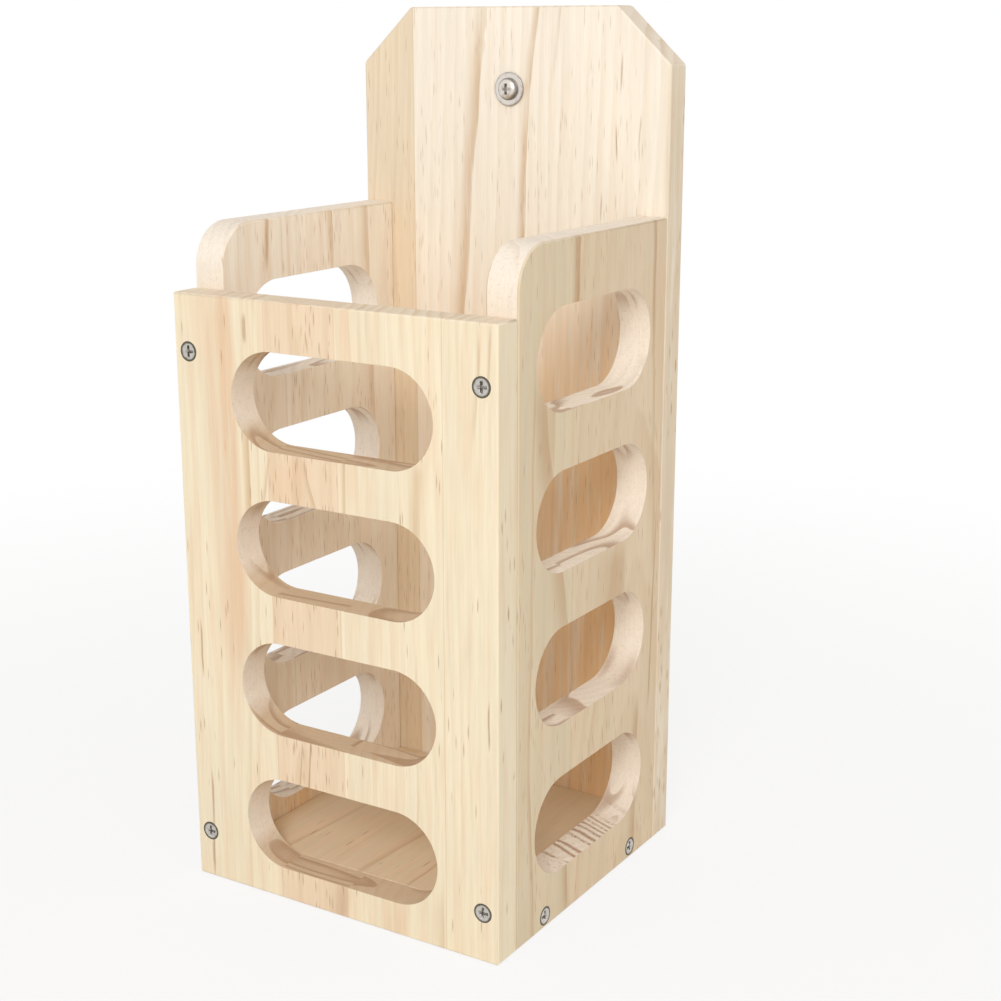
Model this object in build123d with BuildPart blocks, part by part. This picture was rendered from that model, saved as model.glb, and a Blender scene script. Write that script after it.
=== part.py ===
from build123d import *
from math import radians, tan
import os

# Hay feeder box: five pine boards screwed together into a tall open-topped bin. The taller back board
# carries the bolt, washers and wing nut that clamp the box to a cage.
# Millimetres. The origin is the middle of the footprint, the front faces -Y and +Z is up.

# Boards
board_thickness = 12.0
box_width = 130.0
box_depth = 125.0
front_height = 216.0
side_height = 238.0
back_height = 310.0
edge_break = 0.6  # sanded arris along the boards' edges
side_corner_radius = 15.0  # top front corner of each side panel
back_corner_width = 21.5  # slanting cut across the back panel's top corners
back_corner_height = 20.0

# Feeding slots, round-ended, in equal steps up each board
slot_count = 4
front_slot_length = 82.0
front_slot_height = 34.0
front_slot_top_margin = 17.0  # highest slot to the front panel's top; the lowest one opens level with the floor
side_slot_length = 78.0
side_slot_height = 35.0
side_slot_foot_margin = 18.0  # base to the lowest slot
side_slot_top_margin = 21.5  # highest slot to the side panel's top

# Countersunk wood screws
screw_length = 20.0
screw_radius = 1.75
screw_head_radius = 3.5
screw_head_angle = 90.0
lower_screw_rise = 18.0  # base to the lower screws of the front and back panels
upper_screw_drop = 20.0  # panel's top to its upper screws
floor_screw_rise = 4.5
floor_screw_pitch = 63.0
screw_hole_clearance = 0.1  # round the shank in the board that the head pulls on
screw_thread_clearance = 0.02  # round the shank in the board that the thread bites
screw_seat_clearance = 0.05  # round the head in its countersink
screw_end_clearance = 1.0  # beyond the screw's end in its hole

# Cross recess in every head
recess_span = 4.2
recess_foot = 1.6  # span at its bottom
recess_wing = 1.0
recess_depth = 1.8

# Mounting bolt, washers and wing nut
bolt_drop = 29.0  # back panel's top to the bolt's axis
bolt_radius = 2.0
bolt_length = 30.0
bolt_head_radius = 4.0
bolt_head_height = 2.0
bolt_head_bevel = 1.4  # round the top of the low pan head
bolt_end_chamfer = 0.5
washer_radius = 6.0
washer_thickness = 1.0
nut_hub_base_radius = 4.0
nut_hub_top_radius = 3.5
nut_hub_height = 4.6
nut_wing_reach = 10.0  # axis to the wings' outer edge
nut_wing_height = 10.5
nut_wing_thickness = 1.9
nut_wing_tip_radius = 3.2
nut_wing_root = 1.0  # depth that each wing is rooted in the hub's wall
bolt_hole_clearance = 0.1
washer_hole_clearance = 0.15
nut_thread_clearance = 0.05
clamp_clearance = 0.05  # between the clamped faces, which turn on each other

# The outer face of each upright board: local x runs along the board, local y up it, z out of it
front_face = Plane(origin=(0, -box_depth / 2, 0), x_dir=(1, 0, 0), z_dir=(0, -1, 0))
back_face = Plane(origin=(0, box_depth / 2, 0), x_dir=(-1, 0, 0), z_dir=(0, 1, 0))
right_face = Plane(origin=(box_width / 2, 0, 0), x_dir=(0, 1, 0), z_dir=(1, 0, 0))
left_face = Plane(origin=(-box_width / 2, 0, 0), x_dir=(0, -1, 0), z_dir=(-1, 0, 0))
inner_width = box_width - 2 * board_thickness
inner_depth = box_depth - 2 * board_thickness

head_slope = tan(radians(screw_head_angle / 2))  # radius that the head's cone gains with height

# Screw seats: for each screw, the plane that its head lies in, on the outer face of the board it holds
edge_line = (box_width - board_thickness) / 2  # along the middle of the side panels' edges


def corner_seats(panel, face, heights):
    """Four screws near a panel's corners, in line with the side panels' edges."""
    return {
        f"{panel}_screw_{level}_{hand}": Plane((x, face.origin.Y, height), face.x_dir, face.z_dir)
        for level, height in heights.items()
        for hand, x in {"left": -edge_line, "right": edge_line}.items()
    }


def floor_seats(panel, face):
    """Two screws near a side panel's foot, in line with the floor's edge."""
    return {
        f"{panel}_screw_{end}": Plane((face.origin.X, y, floor_screw_rise), face.x_dir, face.z_dir)
        for end, y in {"front": -floor_screw_pitch / 2, "rear": floor_screw_pitch / 2}.items()
    }


front_seats = corner_seats(
    "front", front_face, {"lower": lower_screw_rise, "upper": front_height - upper_screw_drop}
)
back_seats = corner_seats(
    "back", back_face, {"lower": lower_screw_rise, "upper": side_height - upper_screw_drop}
)
left_seats = floor_seats("left", left_face)
right_seats = floor_seats("right", right_face)
all_seats = front_seats | back_seats | left_seats | right_seats


def slot_row(length, height, foot, head):
    """Sketch the row of round-ended slots that fills a board from foot up to head."""
    pitch = (head - foot - height) / (slot_count - 1)
    with Locations((0, (foot + head) / 2)):
        with GridLocations(0, pitch, 1, slot_count):
            SlotOverall(length, height)


def countersink(seats):
    """Clearance holes with seats for the heads, through the board that the screws hold."""
    with Locations(*seats.values()):
        CounterSinkHole(
            radius=screw_radius + screw_hole_clearance,
            counter_sink_radius=screw_head_radius + screw_seat_clearance,
            depth=board_thickness,
            counter_sink_angle=screw_head_angle,
        )


def pilot_holes(seats):
    """Blind holes for the screws' ends, in the edge of the board behind the one they hold."""
    with Locations(*[seat.offset(-board_thickness) for seat in seats]):
        Hole(
            radius=screw_radius + screw_thread_clearance,
            depth=screw_length - board_thickness + screw_end_clearance,
        )


# Front panel: covers the side panels' front edges
with BuildPart() as front_panel:
    with BuildSketch(front_face):
        with Locations((0, front_height / 2)):
            Rectangle(box_width, front_height)
    extrude(amount=-board_thickness)
    chamfer(front_panel.edges(), edge_break)
    with BuildSketch(front_face):
        slot_row(front_slot_length, front_slot_height, board_thickness, front_height - front_slot_top_margin)
    extrude(amount=-board_thickness, mode=Mode.SUBTRACT)
    countersink(front_seats)
front_panel.part.label = "front_panel"


# Side panels: between the front and back panels, with the top front corner rounded off
def side_panel(middle, floor_screws):
    """One side panel, cut either way from its middle plane."""
    with BuildPart() as panel:
        with BuildSketch(middle) as outline:
            with Locations((0, side_height / 2)):
                Rectangle(inner_depth, side_height)
            top_front = outline.vertices().group_by(Axis.Y)[-1].sort_by(Axis.X)[0]
            fillet(top_front, side_corner_radius)
        extrude(amount=board_thickness / 2, both=True)
        chamfer(panel.edges(), edge_break)
        with BuildSketch(middle):
            slot_row(
                side_slot_length, side_slot_height, side_slot_foot_margin, side_height - side_slot_top_margin
            )
        extrude(amount=board_thickness / 2, both=True, mode=Mode.SUBTRACT)
        countersink(floor_screws)
        edge_screws = [seat for seat in (front_seats | back_seats).values() if middle.contains(seat.origin)]
        pilot_holes(edge_screws)
    return panel


left_side_panel = side_panel(Plane.YZ.offset(-edge_line), left_seats)
left_side_panel.part.label = "left_side_panel"
right_side_panel = side_panel(Plane.YZ.offset(edge_line), right_seats)
right_side_panel.part.label = "right_side_panel"

# Back panel: full width, taller than the rest, with slanting top corners and the bolt's hole
bolt_height = back_height - bolt_drop
with BuildPart() as back_panel:
    with BuildSketch(back_face):
        with BuildLine():
            Polyline(
                (0, 0),
                (box_width / 2, 0),
                (box_width / 2, back_height - back_corner_height),
                (box_width / 2 - back_corner_width, back_height),
                (0, back_height),
            )
            mirror(about=Plane.YZ)
        make_face()
    extrude(amount=-board_thickness)
    chamfer(back_panel.edges(), edge_break)
    countersink(back_seats)
    with Locations(back_face):
        with Locations((0, bolt_height)):
            Hole(radius=bolt_radius + bolt_hole_clearance, depth=board_thickness)
back_panel.part.label = "back_panel"

# Floor: inside the four walls, held by the side panels' lowest screws
with BuildPart() as floor_panel:
    with BuildSketch(Plane.XY):
        Rectangle(inner_width, inner_depth)
    extrude(amount=board_thickness)
    chamfer(floor_panel.edges(), edge_break)
    pilot_holes((left_seats | right_seats).values())
floor_panel.part.label = "floor_panel"


def profile_plane(seat):
    """The plane to draw a turned piece's half section in: local x is the radius, local y runs out of seat."""
    return Plane(seat.origin, seat.x_dir, -seat.y_dir)


def cross_recess(face):
    """Sink the driver's cross into a head's face: two crossing wings, narrower at the bottom."""
    for wing_dir in (face.x_dir, face.y_dir):
        with BuildSketch(profile_plane(Plane(face.origin, wing_dir, face.z_dir))) as outline:
            with BuildLine():
                Polyline(
                    (recess_foot / 2, -recess_depth),
                    (recess_span / 2, 0),
                    (-recess_span / 2, 0),
                    (-recess_foot / 2, -recess_depth),
                    close=True,
                )
            make_face()
        extrude(outline.sketch, amount=recess_wing / 2, both=True, mode=Mode.SUBTRACT)


# Wood screws: flat countersunk head on a plain shank
def wood_screw(name, seat):
    """One screw with its head's face in the plane seat."""
    head_cone = (screw_head_radius - screw_radius) / head_slope
    with BuildPart() as screw:
        with BuildSketch(profile_plane(seat)):
            with BuildLine():
                Polyline(
                    (0, 0),
                    (screw_head_radius, 0),
                    (screw_radius, -head_cone),
                    (screw_radius, -screw_length),
                    (0, -screw_length),
                    close=True,
                )
            make_face()
        revolve(axis=Axis(seat.origin, seat.z_dir))
        cross_recess(seat)
    screw.part.label = name
    return screw


wood_screws = [wood_screw(name, seat) for name, seat in all_seats.items()]

# Mounting bolt: pan head inside the box, shank through the back panel, end out behind it
bolt_entry = Plane((0, inner_depth / 2, bolt_height), x_dir=(1, 0, 0), z_dir=(0, -1, 0))
bolt_seat = bolt_entry.offset(clamp_clearance + washer_thickness)
with BuildPart() as mounting_bolt:
    with BuildSketch(profile_plane(bolt_seat)):
        with BuildLine():
            Polyline(
                (0, bolt_head_height),
                (0, -bolt_length),
                (bolt_radius - bolt_end_chamfer, -bolt_length),
                (bolt_radius, bolt_end_chamfer - bolt_length),
                (bolt_radius, 0),
                (bolt_head_radius, 0),
                (bolt_head_radius, bolt_head_height - bolt_head_bevel),
                (bolt_head_radius - bolt_head_bevel, bolt_head_height),
                close=True,
            )
        make_face()
    revolve(axis=Axis(bolt_seat.origin, bolt_seat.z_dir))
    cross_recess(bolt_seat.offset(bolt_head_height))
mounting_bolt.part.label = "mounting_bolt"


# Washers: one under the bolt's head, one under the wing nut
def washer(name, seat):
    """One flat washer lying on the plane seat."""
    with BuildPart() as ring:
        with BuildSketch(seat):
            Circle(washer_radius)
            Circle(bolt_radius + washer_hole_clearance, mode=Mode.SUBTRACT)
        extrude(amount=washer_thickness)
    ring.part.label = name
    return ring


bolt_exit = Plane((0, box_depth / 2, bolt_height), x_dir=(1, 0, 0), z_dir=(0, 1, 0))
front_washer = washer("front_washer", bolt_entry.offset(clamp_clearance))
rear_washer = washer("rear_washer", bolt_exit.offset(clamp_clearance))

# Wing nut: a tapered hub with two round-eared wings, run up against the rear washer
nut_seat = bolt_exit.offset(2 * clamp_clearance + washer_thickness)
nut_bore = bolt_radius + nut_thread_clearance
with BuildPart() as wing_nut:
    with BuildSketch(profile_plane(nut_seat)):
        with BuildSketch(mode=Mode.PRIVATE) as wing:
            with Locations((nut_wing_reach - nut_wing_tip_radius, nut_wing_height - nut_wing_tip_radius)):
                Circle(nut_wing_tip_radius)
            with Locations((nut_hub_top_radius - nut_wing_root / 2, nut_hub_height / 2)):
                Rectangle(nut_wing_root, nut_hub_height)
            make_hull()
        add(wing.sketch)
        mirror(about=Plane.YZ)
    extrude(amount=nut_wing_thickness / 2, both=True)
    with BuildSketch(profile_plane(nut_seat)):
        with BuildLine():
            Polyline(
                (nut_bore, 0),
                (nut_hub_base_radius, 0),
                (nut_hub_top_radius, nut_hub_height),
                (nut_bore, nut_hub_height),
                close=True,
            )
        make_face()
    revolve(axis=Axis(nut_seat.origin, nut_seat.z_dir))
wing_nut.part.label = "wing_nut"

os.makedirs("parts", exist_ok=True)
boards = [front_panel, left_side_panel, right_side_panel, back_panel, floor_panel]
fixings = [*wood_screws, mounting_bolt, front_washer, rear_washer, wing_nut]
for piece in boards + fixings:
    export_step(piece.part, f"parts/{piece.part.label}.step")
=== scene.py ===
import bpy
from math import cos, pi, radians, sin
from mathutils import Matrix, Vector


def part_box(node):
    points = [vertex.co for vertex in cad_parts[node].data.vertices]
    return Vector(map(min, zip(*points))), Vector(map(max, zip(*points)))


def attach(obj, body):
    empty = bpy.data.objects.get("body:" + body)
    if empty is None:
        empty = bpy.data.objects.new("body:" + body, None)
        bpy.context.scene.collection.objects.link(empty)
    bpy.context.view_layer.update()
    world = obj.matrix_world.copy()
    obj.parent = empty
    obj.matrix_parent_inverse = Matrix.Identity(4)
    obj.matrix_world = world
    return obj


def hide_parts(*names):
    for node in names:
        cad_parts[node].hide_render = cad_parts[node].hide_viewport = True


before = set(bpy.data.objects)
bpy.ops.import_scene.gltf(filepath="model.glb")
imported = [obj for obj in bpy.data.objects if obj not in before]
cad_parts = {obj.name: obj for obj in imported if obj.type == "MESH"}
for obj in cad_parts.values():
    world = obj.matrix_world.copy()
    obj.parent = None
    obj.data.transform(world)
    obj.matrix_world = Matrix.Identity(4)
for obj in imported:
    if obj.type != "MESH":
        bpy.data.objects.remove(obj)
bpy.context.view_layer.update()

# Floor panel: a bare pine board glued up from strips and planed, its grain running from front
# to back. It is cut to drop in between the four walls, and the side panels' lowest screws hold it.


class Value:
    """A number that changes over a surface. Arithmetic on it adds Math nodes to its finish."""

    def __init__(self, finish, socket):
        self.finish = finish
        self.socket = socket

    def math(self, operation, *inputs):
        node = self.finish.node("ShaderNodeMath", {"operation": operation}, dict(enumerate(inputs)))
        return Value(self.finish, node.outputs[0])

    def __add__(self, other):
        return self.math("ADD", self, other)

    def __sub__(self, other):
        return self.math("SUBTRACT", self, other)

    def __rsub__(self, other):
        return self.math("SUBTRACT", other, self)

    def __mul__(self, other):
        return self.math("MULTIPLY", self, other)

    def __truediv__(self, other):
        return self.math("DIVIDE", self, other)

    def __pow__(self, other):
        return self.math("POWER", self, other)

    def __abs__(self):
        return self.math("ABSOLUTE", self)

    def __gt__(self, other):
        return self.math("GREATER_THAN", self, other)

    def __lt__(self, other):
        return self.math("LESS_THAN", self, other)

    __radd__ = __add__
    __rmul__ = __mul__

    def fraction(self):
        return self.math("FRACT", self)

    def rise(self, start, end):
        """0 at start, 1 at end and a smooth slope between them, whichever of the two is lower."""
        settings = {"interpolation_type": "SMOOTHSTEP"}
        node = self.finish.node("ShaderNodeMapRange", settings, {0: self, 1: start, 2: end})
        return Value(self.finish, node.outputs[0])


class Finish:
    """The nodes of a material, or of the world."""

    def __init__(self, owner):
        owner.use_nodes = True
        self.owner = owner
        self.tree = owner.node_tree
        self.tree.nodes.clear()

    def node(self, kind, settings=(), sockets=()):
        """One node: its settings first, then the values or links of its sockets."""
        node = self.tree.nodes.new(kind)
        for setting, value in dict(settings).items():
            setattr(node, setting, value)
        for socket, value in dict(sockets).items():
            if isinstance(value, Value):
                value = value.socket
            if isinstance(value, bpy.types.NodeSocket):
                self.tree.links.new(value, node.inputs[socket])
            else:
                node.inputs[socket].default_value = value
        return node

    def axes(self, vector):
        """A vector's three numbers."""
        parts = self.node("ShaderNodeSeparateXYZ", (), {0: vector})
        return [Value(self, part) for part in parts.outputs]

    def place(self):
        """Where a point is, in millimetres, and which way its surface faces."""
        point = self.node("ShaderNodeTexCoord").outputs
        scale = {0: point["Object"], "Scale": 1000}
        millimetres = self.node("ShaderNodeVectorMath", {"operation": "SCALE"}, scale)
        return self.axes(millimetres.outputs[0]), self.axes(point["Normal"])

    def vector(self, *parts):
        return self.node("ShaderNodeCombineXYZ", (), dict(enumerate(parts))).outputs[0]

    def noise(self, vector, detail=1.0, roughness=0.5):
        """Smooth noise on both sides of 0, whose features are about one unit of vector across."""
        sockets = {"Vector": vector, "Scale": 1.0, "Detail": detail, "Roughness": roughness}
        return Value(self, self.node("ShaderNodeTexNoise", (), sockets).outputs[0]) - 0.5

    def chance(self, count):
        """A random number from 0 to 1 for each whole number of count."""
        whole = {"W": count.math("FLOOR", count)}
        settings = {"noise_dimensions": "1D"}
        return Value(self, self.node("ShaderNodeTexWhiteNoise", settings, whole).outputs[0])

    def mix(self, factor, first, second, blend="MIX"):
        """The second colour laid over the first."""
        settings = {"data_type": "RGBA", "blend_type": blend}
        return self.node("ShaderNodeMix", settings, {0: factor, 6: first, 7: second}).outputs[2]

    def relief(self, height, depth, strength):
        """The bump of a height, as a normal."""
        sockets = {"Strength": strength, "Distance": depth, "Height": height}
        return self.node("ShaderNodeBump", (), sockets).outputs[0]

    def surface(self, **sockets):
        """The whole material: a Principled shader. Its sockets' names have _ for a space."""
        named = {name.replace("_", " "): value for name, value in sockets.items()}
        shader = self.node("ShaderNodeBsdfPrincipled", (), named)
        self.node("ShaderNodeOutputMaterial", (), {"Surface": shader.outputs[0]})
        return self.owner


def paint(red, green, blue):
    """A colour as a paint chart gives it, 0 to 255, turned into the light that it sends back."""
    return tuple(((part / 255 + 0.055) / 1.055) ** 2.4 for part in (red, green, blue)) + (1.0,)


cream = paint(245, 231, 202)
wheat = paint(240, 222, 194)
peach = paint(240, 217, 187)
bone = paint(253, 243, 226)
tan = paint(230, 209, 178)
khaki = paint(228, 211, 180)
rosy = paint(236, 204, 170)
# painted warm shade for the box's shaded inner faces
painted_warm_shade = paint(244, 202, 150)
latewood = paint(206, 170, 126)  # the dark side of each year's ring
heartwood = paint(190, 148, 104)
resin = paint(168, 124, 88)
umber = paint(214, 188, 156)
fresh_cut = paint(249, 237, 222)
sawn_end = paint(234, 217, 194)


def strip(end, colour, pith, ring, contrast, flecks, lean=0.0, dive=0.0):
    """One glued strip: its right-hand edge, its colour, its pith's place across and through the
    board, the width and strength of its rings, its share of resin flecks, and how the pith drifts
    along it."""
    return dict(end=end, colour=colour, pith=pith[0], depth=pith[1], ring=ring, contrast=contrast,
                flecks=flecks, lean=lean, dive=dive)


def streak(foot, head, half, strength, colour=latewood, fade=8.0, edge=0.3, side=0):
    """One mark of the figure, from its foot up to its head, each (across, along), and half its
    width. With edge near 1 it starts softly on its left and ends sharply on its right. side keeps
    it to one face of the board: 1 or -1, the way that face looks through the board."""
    return dict(foot=foot, head=head, half=half, strength=strength, colour=colour, fade=fade,
                edge=edge, side=side)


def pine(
    name, axes, strips, figure=(), seed=0.0, warm=0.4, routed=None, reach=(60, 250), chatter=None,
):
    """Bare pine, solid through the board: years' rings round a far-off pith in each strip, fibres
    and resin flecks along the grain, and end grain where a cut crosses it. axes number the
    directions across, through and along the board, in millimetres. warm is the strength of its
    rosier streaks. routed is the colour of the slots' end grain, reach how far from the middle line
    and how high their walls go, and chatter the height below which the router left a comb of marks.
    """
    wood = Finish(bpy.data.materials.new(name))
    point, facing = wood.place()
    u, t, g = (point[axis] for axis in axes)
    facing_t, facing_g = facing[axes[1]], facing[axes[2]]
    passed = [u > strip["end"] for strip in strips[:-1]]

    def by_strip(quality):
        value = strips[0][quality]
        for step, left, right in zip(passed, strips, strips[1:]):
            value = step * (right[quality] - left[quality]) + value
        return value

    # Rings
    shift = by_strip("depth") * 0.173 + seed
    wander = wood.noise(wood.vector(u * 0.02 + shift, t * 0.02, g * 0.007), 1.0)
    ripple = wood.noise(wood.vector(u * 0.13 + shift, t * 0.13, g * 0.015), 2.0)
    sideways = u - by_strip("pith") - g * by_strip("lean") + wander * 14.0
    depth = t - by_strip("depth") - g * by_strip("dive")
    radius = (sideways * sideways + depth * depth) ** 0.5 + ripple * 2.2
    rings = radius / by_strip("ring") + shift
    late = rings.fraction()
    late = late.rise(0.2, 0.92) * late.rise(1.0, 0.92) * (wood.chance(rings) * 0.8 + 0.2)

    # Fibres, and resin flecks in cells drawn out along the grain
    fibre = wood.noise(wood.vector(u * 1.1, t * 1.1, g * 0.05), 3.0, 0.75)
    warmth = wood.noise(wood.vector(u * 0.33 + shift, t * 0.33, g * 0.02), 2.0, 0.65)
    patch = wood.noise(wood.vector(u * 0.05 + seed, t * 0.05, g * 0.012 + shift), 1.0)
    cells = wood.node(
        "ShaderNodeTexVoronoi", (),
        {"Vector": wood.vector(u * 1.05 + seed, t * 0.5, g * 0.095 + seed), "Scale": 1.0},
    )
    pick, hue, _ = wood.axes(cells.outputs["Color"])
    fleck = Value(wood, cells.outputs["Distance"]).rise(0.36, 0.06)
    share = by_strip("flecks") * (patch.rise(-0.1, 0.12) + 0.12)
    fleck = fleck * (pick < share) * (hue * 0.8 + 0.2)

    # Flat faces: strips, glue lines and figure
    end = abs(facing_g).rise(0.35, 0.9)
    colour = strips[0]["colour"]
    glue = 0.0
    for step, left, right in zip(passed, strips, strips[1:]):
        colour = wood.mix(step, colour, right["colour"])
        glue = abs(u - left["end"]).rise(0.3, 0.1) + glue
    if passed:
        colour = wood.mix(glue * 0.3, colour, latewood)
    colour = wood.mix(warmth.rise(-0.12, 0.22) * warm, colour, rosy)
    drift = wood.noise(wood.vector(u * 0.03, seed, g * 0.025), 2.0) * 3.5
    for mark in figure:
        (foot_u, foot_g), (head_u, head_g) = mark["foot"], mark["head"]
        half, edge, fade = mark["half"], mark["edge"], mark["fade"]
        off = u - (g - foot_g) * ((head_u - foot_u) / (head_g - foot_g)) - foot_u + drift
        across = off.rise(-half, half * edge * 0.9) * off.rise(half, half * edge)
        along = g.rise(foot_g - fade, foot_g + fade) * g.rise(head_g + fade, head_g - fade)
        if mark["side"]:
            along = along * (facing_t * mark["side"]).rise(0.3, 0.7)
        broken = (fibre + warmth).rise(-0.3, 0.05) * 0.6 + 0.4
        colour = wood.mix(across * along * broken * mark["strength"], colour, mark["colour"])
    colour = wood.mix(late * (patch + 0.5) * by_strip("contrast") * 1.6, colour, latewood)
    colour = wood.mix(fleck * 0.75, colour, resin)

    # Cut faces: end grain everywhere. The router's walls are pale and torn along the grain, and
    # a few long brown lines run through them where it cut across. The side panels' rounded tops
    # have none.
    fuzz = wood.noise(wood.vector(u * 1.7, t * 1.7, g * 1.7), 2.0, 0.75)
    end_colour = wood.mix(late * 0.6, sawn_end, latewood)
    colour = wood.mix(end * 0.8, colour, end_colour)
    if routed:
        wall = abs(facing_t).rise(0.75, 0.3) * (abs(u) < reach[0]) * (g < reach[1])
        torn = wood.noise(wood.vector(u * 0.9, t * 0.9, g * 0.9), 3.0, 0.8)
        lines = wood.noise(wood.vector(u * 0.013, t * 0.09, g * 0.03 + shift), 0.0) * 5.0
        lines = (lines + torn * 0.05).fraction()
        lines = lines.rise(0.5, 0.9) * lines.rise(1.0, 0.94) * g.rise(216.0, 210.0)
        cut = wood.mix(end, fresh_cut, routed)
        cut = wood.mix(torn.rise(0.0, 0.3) * 0.5 + late * end * 0.2, cut, latewood)
        if chatter:
            teeth = u * 0.3 + t * 0.08 + patch * 2.5 + torn * 0.35
            comb = teeth.fraction()
            comb = comb.rise(0.1, 0.4) * comb.rise(0.85, 0.5)
            comb = comb * (wood.chance(teeth) + torn * 2.0).rise(0.1, 0.8)
            low = (g < chatter) * u.rise(34.0, 18.0)
            lines = lines * (1.0 - low) + comb * low * 1.3
        cut = wood.mix(lines * end * 0.7, cut, resin)
        colour = wood.mix(wall * 0.85, colour, cut)
    tone = fibre * 0.22 * (1.0 - end) + patch * 0.12 + fuzz * end * 0.25 + 1.0
    colour = wood.mix(1.0, colour, wood.vector(tone, tone, tone), "MULTIPLY")
    return wood.surface(
        Base_Color=colour,
        Roughness=0.6 + fibre * 0.2 + end * 0.15,
        Specular_IOR_Level=0.3,
        Normal=wood.relief(fibre * 0.6 + fuzz * end * 1.5, 0.0003, 0.35),
    )


def middle(node):
    """The middle of a node's box, in millimetres."""
    return sum(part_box(node), Vector()) * 500


def dress(node, finish):
    """Give a node its finish."""
    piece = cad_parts[node]
    piece.data.materials.clear()
    piece.data.materials.append(finish)
    return piece


def ease(piece, width):
    """Round a piece's sharp edges, as sanding, plating or wear does."""
    skin = piece.modifiers.new("closed_skin", "WELD")
    skin.merge_threshold = 1e-6
    flats = piece.modifiers.new("whole_faces", "DECIMATE")
    flats.decimate_type = "DISSOLVE"
    flats.angle_limit = radians(0.5)
    edges = piece.modifiers.new("eased_edges", "BEVEL")
    edges.width = width
    edges.segments = 3
    edges.limit_method = "ANGLE"
    edges.angle_limit = radians(40)
    shading = piece.modifiers.new("even_faces", "WEIGHTED_NORMAL")
    shading.weight = 100


floor_pine = pine("floor_pine", (0, 2, 1), [
    strip(-14, tan, (-90, -40), 4.4, 0.16, 0.5, lean=0.05),
    strip(54, tan, (80, -46), 5.2, 0.18, 0.4, lean=-0.05),
], figure=[
    streak((-36, -55), (-30, 20), 1.2, 0.4, colour=heartwood, edge=0.8),
    streak((-2, -55), (4, 30), 1.8, 0.4, colour=heartwood, edge=0.8),
    streak((20, -55), (18, 10), 0.9, 0.5, colour=heartwood, edge=0.8),
], seed=57.0, warm=0.6)
ease(dress("floor_panel", floor_pine), 0.0006)

# Side panels: the same pine, standing on edge between the front and back panels. The top front
# corner is rounded, and four feeding slots are routed through and sanded.
left_x = middle("left_side_panel").x
right_x = middle("right_side_panel").x
left_pine = pine("left_pine", (1, 0, 2), [
    strip(-18, bone, (-40, left_x + 40), 3.0, 0.3, 1.4, lean=0.03),
    strip(51, bone, (30, left_x + 60), 3.6, 0.26, 1.1, lean=0.02),
], figure=[
    # Painted warm shade: an amber patch low on the inner face, towards the front.
    streak((-24, 0), (-24, 36), 28.0, 0.8, colour=painted_warm_shade, side=1),
    streak((-27, 222), (-26, 244), 1.6, 0.7, colour=heartwood, fade=4.0),
    streak((10, 218), (8, 244), 3.0, 0.5, edge=0.85),
    streak((33, 150), (30, 244), 4.0, 0.5, edge=0.85, fade=20.0),
], seed=23.4, warm=0.25, routed=fresh_cut)
right_pine = pine("right_pine", (1, 0, 2), [
    strip(-15, khaki, (-60, right_x - 52), 4.6, 0.3, 0.5, lean=-0.05, dive=0.06),
    strip(51, tan, (30, right_x - 44), 4.2, 0.34, 0.6, lean=0.04, dive=-0.08),
], figure=[
    streak((-16, 190), (-14, 244), 2.8, 0.8, colour=heartwood, edge=0.8),
    streak((-20, 90), (-40, 190), 6.0, 0.5, colour=heartwood, edge=0.95),
    streak((-34, 165), (-34, 212), 7.0, 0.4, edge=0.9),
    streak((12, 102), (12, 124), 13.0, 0.55, colour=heartwood, fade=5.0, edge=0.8),
    streak((42, 200), (41, 244), 1.8, 0.9, colour=heartwood),
    streak((44, 60), (47, 130), 1.0, 0.8, colour=heartwood),
    streak((28, 60), (30, 230), 18.0, 0.6, colour=peach, fade=20.0),
    streak((-19, 0), (-22, 48), 3.2, 0.6, colour=heartwood, edge=0.8),
    streak((31, -8), (33, 60), 3.6, 0.55, colour=heartwood, edge=0.8),
    streak((-40, -10), (-43, 60), 1.6, 0.5, colour=heartwood, edge=0.8),
    streak((49, 110), (45, 232), 5.0, 0.6, colour=rosy, fade=16.0, edge=0.6),
    streak((45, 112), (41, 206), 1.4, 0.6, edge=0.85),
    streak((-43, 60), (-41, 200), 1.2, 0.5, edge=0.8, fade=16.0),
], seed=8.2, warm=0.25, routed=fresh_cut, chatter=28.0)
ease(dress("left_side_panel", left_pine), 0.0007)
ease(dress("right_side_panel", right_pine), 0.0007)

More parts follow.
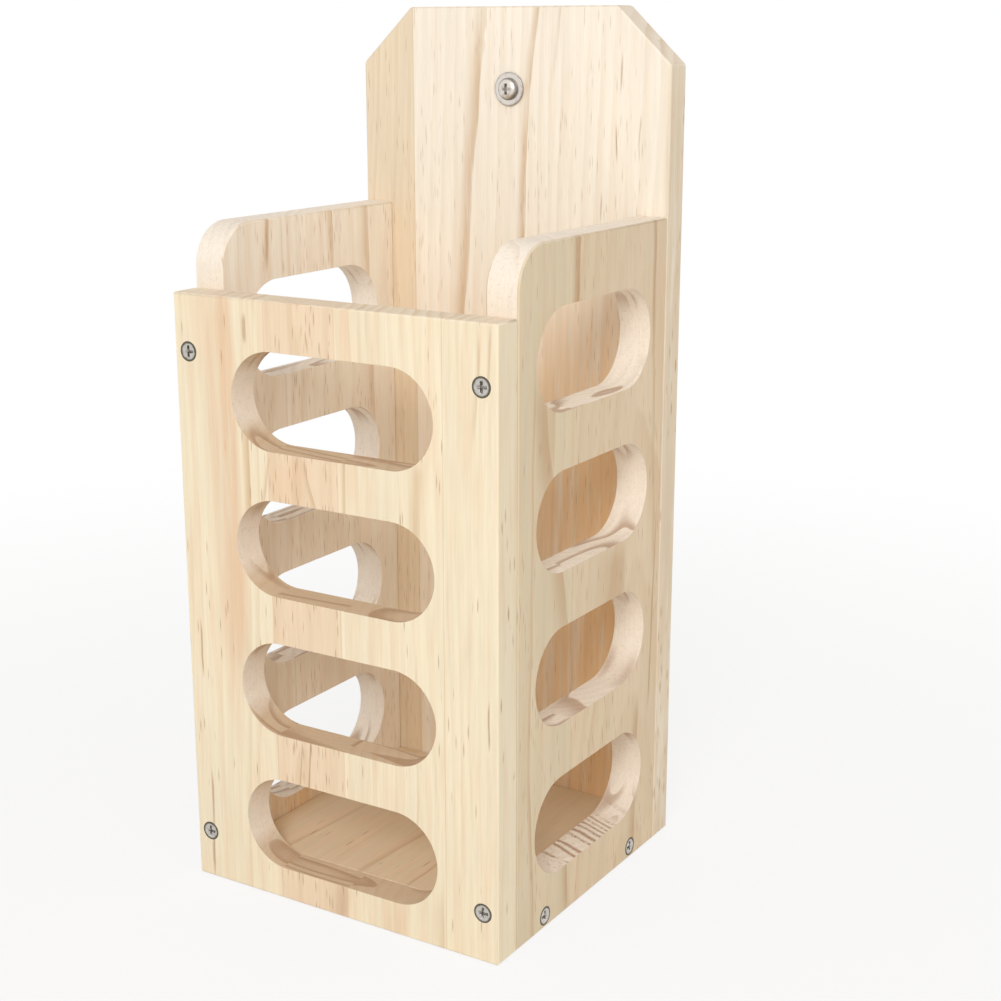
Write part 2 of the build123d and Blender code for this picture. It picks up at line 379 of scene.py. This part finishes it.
# Front panel: the same pine, covering the side panels' front edges and screwed to them
# at its four corners. Its four slots line up with theirs.
front_y = middle("front_panel").y
front_pine = pine("front_pine", (0, 1, 2), [
    strip(-26, cream, (-95, front_y - 10), 4.4, 0.24, 0.25, lean=0.02),
    strip(3, peach, (-16, front_y + 30), 2.6, 0.34, 1.5, lean=0.015),
    strip(44.5, cream, (90, front_y + 26), 4.2, 0.18, 0.2, lean=-0.02),
    strip(66, cream, (190, front_y), 3.6, 0.22, 0.15),
], figure=[
    streak((-46, 84), (-48, 226), 10.0, 1.0, colour=rosy, edge=0.7, fade=20.0),
    streak((-36, 136), (-35, 190), 1.8, 0.6, edge=0.9),
    streak((7, 152), (4, 226), 5.0, 0.55, colour=rosy, edge=0.9),
    streak((5, 140), (5.5, 176), 1.2, 0.6, edge=0.8),
    streak((-34, 202), (-34, 210), 1.3, 0.8, colour=resin, fade=2.0),
    streak((33, 138), (34, 168), 4.5, 0.5, fade=4.0),
    streak((-12, 44), (-11, 66), 0.5, 0.8, colour=resin, fade=3.0),
    streak((-16, 42), (-15, 64), 0.5, 0.6, colour=resin, fade=3.0),
    streak((33, 34), (33, 100), 0.7, 0.45),
    streak((-59, 80), (-59, 98), 0.7, 0.7, colour=resin, fade=4.0),
    streak((-58, 2), (-57.5, 40), 0.8, 0.7, colour=resin, fade=5.0),
    streak((61, 78), (61, 92), 0.6, 0.8, colour=resin, fade=3.0),
    streak((-2, -10), (0, 14), 6.0, 0.35, colour=resin),
    streak((20, -10), (22, 13), 9.0, 0.7, colour=rosy, edge=0.6),
    streak((41, -10), (42, 20), 2.0, 0.4, edge=0.85),
    streak((-21, 148), (-19, 163), 13.0, 0.8, colour=rosy, fade=5.0, edge=0.6),
    streak((-7, 146), (-12, 164), 1.4, 0.55, fade=4.0, edge=0.8),
    streak((-29, 147), (-25, 163), 1.0, 0.5, fade=4.0, edge=0.8),
    streak((56, 182), (57.5, 210), 1.2, 0.55, fade=6.0),
    streak((60.5, 194), (61.5, 214), 0.8, 0.5, colour=heartwood, fade=5.0),
], seed=1.7, routed=umber, reach=(42, 200))
ease(dress("front_panel", front_pine), 0.0007)

# Back panel: the same pine, full width and taller than the rest, with its top corners sawn off
# slantwise and one hole for the mounting bolt. Four screws from behind hold it to the sides.
back_y = middle("back_panel").y
back_pine = pine("back_pine", (0, 1, 2), [
    strip(-42.5, wheat, (-100, back_y - 10), 3.0, 0.3, 1.6),
    strip(66, bone, (150, back_y + 30), 4.8, 0.2, 0.55, lean=0.03),
], figure=[
    # Painted warm shade: the inner face turns amber and darker towards the bottom.
    streak((-10, -90), (-9.9, 196), 65.0, 0.9, colour=painted_warm_shade, fade=50.0, edge=0.97, side=-1),
    streak((-27, 160), (-13.5, 312), 3.6, 0.65, fade=30.0, edge=0.85),
    streak((3, 205), (6.5, 282), 2.0, 0.75, fade=24.0, edge=0.85),
    streak((6.5, 280), (12, 314), 1.8, 0.6, edge=0.85, fade=3.0),
    streak((18, 288), (22, 320), 1.0, 0.35, edge=0.9),
    streak((45.5, 282), (45.5, 292), 0.6, 0.6, colour=resin, fade=4.0),
    streak((44.0, 258), (44.0, 268), 0.5, 0.7, colour=resin, fade=3.0),
    streak((53.5, 262), (53.5, 270), 0.5, 0.7, colour=resin, fade=4.0),
    streak((38.5, 236), (38.5, 244), 0.5, 0.6, colour=resin, fade=3.0),
    streak((66, -20), (66.1, 330), 3.5, 1.0, colour=tan, edge=0.0),
], seed=41.0, warm=0.12)
ease(dress("back_panel", back_pine), 0.0007)

# Wood screws: twelve zinc-plated steel screws with flat countersunk heads and a cross recess,
# driven in flush. Their colour has painted shade round the rims and in the recesses, and a few dull
# patches on the plating.


def turned_steel(name, radius, rim, bright, worn_and_shaded, inward=None):
    """Plated steel with the lathe's rings round an axis, random dull patches, and painted shade
    round the rim and in the recess.
    radius and inward, the depth below the head's face, are functions of a point's x, y and z."""
    metal = Finish(bpy.data.materials.new(name))
    point, _ = metal.place()
    from_axis = radius(*point)
    patch = metal.noise(metal.vector(*(part * 0.7 for part in point)), 2.0, 0.6)
    grit = metal.noise(metal.vector(*(part * 5.0 for part in point)), 1.0, 0.6)
    marks = metal.noise(metal.vector(from_axis * 7.0, 0.0, 0.0), 1.0)
    # Painted shade: the colour darkens towards the rim and, with inward, deeper in the recess. The
    # random patches are dull plating.
    wear_and_shade = (from_axis + patch * 0.3).rise(rim * 0.68, rim * 0.88) + patch.rise(-0.05, 0.3) * 0.45
    if inward:
        wear_and_shade = wear_and_shade + inward(*point).rise(0.2, 1.8) * 0.35
    wear_and_shade = wear_and_shade.math("MINIMUM", wear_and_shade, 1.0)
    return metal.surface(
        Base_Color=metal.mix(wear_and_shade, bright, worn_and_shaded),
        Metallic=1.0,
        Roughness=0.3 + wear_and_shade * 0.2 + grit * 0.1,
        Normal=metal.relief(grit * 0.5 + marks, 0.0001, 0.3),
    )


screw_bright = paint(204, 200, 194)
screw_worn_and_shaded = paint(104, 98, 84)
screw_rim = 3.5
lower_z = middle("front_screw_lower_left").z
front_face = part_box("front_panel")[0].y * 1000
back_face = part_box("back_panel")[1].y * 1000
for panel, face_y, towards in (("front", front_face, 1), ("back", back_face, -1)):
    corner_x = middle(f"{panel}_screw_upper_right").x
    upper_z = middle(f"{panel}_screw_upper_right").z

    def head_radius(x, y, z):
        sideways = abs(x) - corner_x
        upwards = abs(z - (upper_z + lower_z) / 2) - (upper_z - lower_z) / 2
        return (sideways * sideways + upwards * upwards) ** 0.5

    def head_depth(x, y, z):
        return (y - face_y) * towards

    zinc = turned_steel(
        f"{panel}_screw_zinc", head_radius, screw_rim, screw_bright, screw_worn_and_shaded, head_depth
    )
    for corner in ("lower_left", "lower_right", "upper_left", "upper_right"):
        ease(dress(f"{panel}_screw_{corner}", zinc), 0.0002)

floor_screw = middle("right_screw_rear")
side_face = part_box("right_side_panel")[1].x * 1000


def floor_head_radius(x, y, z):
    sideways = abs(y) - floor_screw.y
    upwards = z - floor_screw.z
    return (sideways * sideways + upwards * upwards) ** 0.5


def floor_head_depth(x, y, z):
    return side_face - abs(x)


floor_zinc = turned_steel(
    "floor_screw_zinc", floor_head_radius, screw_rim, screw_bright, screw_worn_and_shaded, floor_head_depth
)
for side in ("left", "right"):
    for end in ("front", "rear"):
        ease(dress(f"{side}_screw_{end}", floor_zinc), 0.0002)

# Mounting bolt and washers: nickel-plated steel. The bolt's domed pan head bears on the front
# washer inside the box, and its threaded end comes out through the back panel and the rear washer.
bolt_low, bolt_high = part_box("mounting_bolt")
bolt_axis = (bolt_low + bolt_high) * 500
bolt_face = bolt_low.y * 1000
bolt_end = bolt_high.y * 1000
dome_radius = (bolt_high.x - bolt_low.x) * 500
head_height, shank_radius, plain_length, end_bevel = 2.0, 2.0, 5.0, 0.5
thread_pitch, thread_depth, steps_a_pitch = 0.7, 0.38, 6


def bolt_radius(x, y, z):
    sideways = x - bolt_axis.x
    upwards = z - bolt_axis.z
    return (sideways * sideways + upwards * upwards) ** 0.5


def lathe(name, rows, steps):
    """A turned mesh round the bolt's axis. rows are (y, radius) in millimetres, from one end to the
    other, where the radius may be a function of the turn, from 0 to 1."""
    points = []
    for y, radius in rows:
        for step in range(steps):
            turn = step / steps
            reach = radius(turn) if callable(radius) else radius
            x = bolt_axis.x + reach * cos(2 * pi * turn)
            z = bolt_axis.z + reach * sin(2 * pi * turn)
            points.append(Vector((x, y, z)) / 1000)
    faces = [
        (row * steps + step, row * steps + (step + 1) % steps,
         (row + 1) * steps + (step + 1) % steps, (row + 1) * steps + step)
        for row in range(len(rows) - 1) for step in range(steps)
    ]
    faces.append(tuple(reversed(range(steps))))
    faces.append(tuple(range((len(rows) - 1) * steps, len(rows) * steps)))
    mesh = bpy.data.meshes.new(name)
    mesh.from_pydata(points, [], faces)
    piece = bpy.data.objects.new(name, mesh)
    bpy.context.scene.collection.objects.link(piece)
    return piece


def thread(y, depth):
    """The radius of a screw thread of some depth at y, as a function of the turn."""
    def radius(turn):
        phase = (y / thread_pitch + turn) % 1.0
        return shank_radius - depth * min(1.0, abs(2 * phase - 1) * 1.25)
    return radius


bolt_rows = [(bolt_face + drop, dome_radius * part) for drop, part in (
    (0.0, 0.02), (0.02, 0.3), (0.1, 0.5), (0.26, 0.68), (0.5, 0.81),
    (0.82, 0.91), (1.2, 0.97), (1.55, 1.0), (1.9, 1.0),
)]
bolt_rows.append((bolt_face + head_height, dome_radius * 0.98))
bolt_rows.append((bolt_face + head_height, shank_radius))
thread_start = bolt_face + head_height + plain_length
bolt_rows.append((thread_start, shank_radius))
turns = int((bolt_end - 0.6 - thread_start) / thread_pitch)
for step in range(turns * steps_a_pitch + 1):
    y = thread_start + step * thread_pitch / steps_a_pitch
    bolt_rows.append((y, thread(y, thread_depth * min(1.0, step / steps_a_pitch))))
bolt_rows.append((bolt_end, shank_radius - end_bevel))
bolt = lathe("pan_head_bolt", bolt_rows, 32)

cross_points = []
blade = 0.55  # half the width of the driver's blades
for drop, span in ((-0.5, 2.4), (1.8, 0.9)):
    arm = (Vector((span, blade)), Vector((blade, blade)), Vector((blade, span)))
    for turn in range(4):
        for corner in arm:
            corner = Matrix.Rotation(turn * pi / 2, 2) @ corner
            point = (bolt_axis.x + corner.x, bolt_face + drop, bolt_axis.z + corner.y)
            cross_points.append(Vector(point) / 1000)
cross_faces = [tuple(range(12)), tuple(reversed(range(12, 24)))]
for corner in range(12):
    after = (corner + 1) % 12
    cross_faces.append((corner, corner + 12, after + 12, after))
cross_mesh = bpy.data.meshes.new("recess_cross")
cross_mesh.from_pydata(cross_points, [], cross_faces)
cross = bpy.data.objects.new("recess_cross", cross_mesh)
bpy.context.scene.collection.objects.link(cross)
recess = bolt.modifiers.new("recess", "BOOLEAN")
recess.operation = "DIFFERENCE"
recess.solver = "EXACT"
recess.object = cross
drilled = bolt.evaluated_get(bpy.context.evaluated_depsgraph_get())
bolt.data = bpy.data.meshes.new_from_object(drilled)
bolt.modifiers.clear()
bpy.data.objects.remove(cross)
bolt.data.shade_smooth()
bolt.data.set_sharp_from_angle(angle=radians(35))

nickel_bright = paint(226, 220, 212)
nickel_worn_and_shaded = paint(150, 142, 136)


def dome_depth(x, y, z):
    """How far a point of the bolt's head lies below the dome, in its recess."""
    dome = bolt_radius(x, y, z) ** 2.0 * 0.045
    return (y - bolt_face - dome - 0.1) * 2.5 * (y < bolt_face + head_height * 0.95)


# Painted shade: the bolt's head darkens round the dome's edge and down in the cross recess.
bolt.data.materials.append(turned_steel(
    "bolt_nickel", bolt_radius, dome_radius * 1.08, nickel_bright, nickel_worn_and_shaded, dome_depth
))
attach(bolt, "bolt")
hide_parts("mounting_bolt")
# The washers carry the same painted shade, darker towards their outer edge.
washer_nickel = turned_steel("washer_nickel", bolt_radius, 7.5, nickel_bright, nickel_worn_and_shaded)
for washer in ("front_washer", "rear_washer"):
    ease(dress(washer, washer_nickel), 0.0003)

# Wing nut: one die-cast piece, nickel-plated like the bolt, with two ears for finger and thumb.
# It runs up the bolt's thread behind the box and clamps the rear washer.
# Painted shade darkens the nut away from the bolt's axis, out on its ears.
nut_nickel = turned_steel("nut_nickel", bolt_radius, 11.0, nickel_bright, nickel_worn_and_shaded)
ease(dress("wing_nut", nut_nickel), 0.0004)

# Studio: a pale paper floor in a white surround, with soft light from all round, one large lamp
# in front, a little to the right, and a weaker one farther round to the right.
camera_turn, camera_dip = radians(31.77), radians(15.06)
camera = bpy.data.objects.new("camera", bpy.data.cameras.new("camera"))
camera.data.lens = 62.57
camera.location = (0.33934, -0.50395, 0.30086)
line_of_sight = Vector((-sin(camera_turn), cos(camera_turn), 0)) * cos(camera_dip)
line_of_sight.z = -sin(camera_dip)
camera.rotation_euler = line_of_sight.to_track_quat("-Z", "Y").to_euler()
bpy.context.scene.collection.objects.link(camera)
bpy.context.scene.camera = camera

for name, place, size, power in (
    ("key", (0.52, -1.3, 0.95), 0.5, 9.8), ("fill", (1.5, -0.4, 0.9), 1.2, 1.8),
):
    lamp = bpy.data.lights.new(name, "AREA")
    lamp.size = size
    lamp.energy = power
    stand = bpy.data.objects.new(name, lamp)
    stand.location = place
    beam = Vector((0, 0, 0.15)) - stand.location
    stand.rotation_euler = beam.to_track_quat("-Z", "Y").to_euler()
    bpy.context.scene.collection.objects.link(stand)

paper_mesh = bpy.data.meshes.new("paper_floor")
paper_mesh.from_pydata([(-6, -6, 0), (6, -6, 0), (6, 6, 0), (-6, 6, 0)], [], [(0, 1, 2, 3)])
paper_floor = bpy.data.objects.new("paper_floor", paper_mesh)
paper_floor.location.z = -0.0002
bpy.context.scene.collection.objects.link(paper_floor)
paper = Finish(bpy.data.materials.new("paper"))
x, y, _ = paper.place()[0]
far = ((x * x + y * y) ** 0.5).rise(150, 700)
rays = [Value(paper, output) for output in paper.node("ShaderNodeLightPath").outputs]
seen = rays[0] + rays[3] + rays[6]
grey = paper.node("ShaderNodeBsdfDiffuse", (), {"Color": paint(236, 234, 230)})
white = paper.node("ShaderNodeEmission", (), {"Color": (1, 1, 1, 1), "Strength": 1.0})
lit = paper.node("ShaderNodeMixShader", (), {
    0: seen.math("MINIMUM", seen, 1.0) * (far * 0.2 + 0.8), 1: grey.outputs[0], 2: white.outputs[0],
})
paper.node("ShaderNodeOutputMaterial", (), {"Surface": lit.outputs[0]})
paper_mesh.materials.append(paper.owner)

surround = Finish(bpy.data.worlds.new("surround"))
sight = surround.node("ShaderNodeLightPath").outputs
seen = Value(surround, sight["Is Camera Ray"]) + Value(surround, sight["Is Glossy Ray"])
dim = surround.node("ShaderNodeBackground", (), {"Color": (1, 1, 1, 1), "Strength": 0.64})
plain = surround.node("ShaderNodeBackground", (), {"Color": (1, 1, 1, 1), "Strength": 1.0})
sky = surround.node("ShaderNodeMixShader", (), {0: seen, 1: dim.outputs[0], 2: plain.outputs[0]})
surround.node("ShaderNodeOutputWorld", (), {"Surface": sky.outputs[0]})
bpy.context.scene.world = surround.owner
bpy.context.scene.view_settings.view_transform = "Standard"
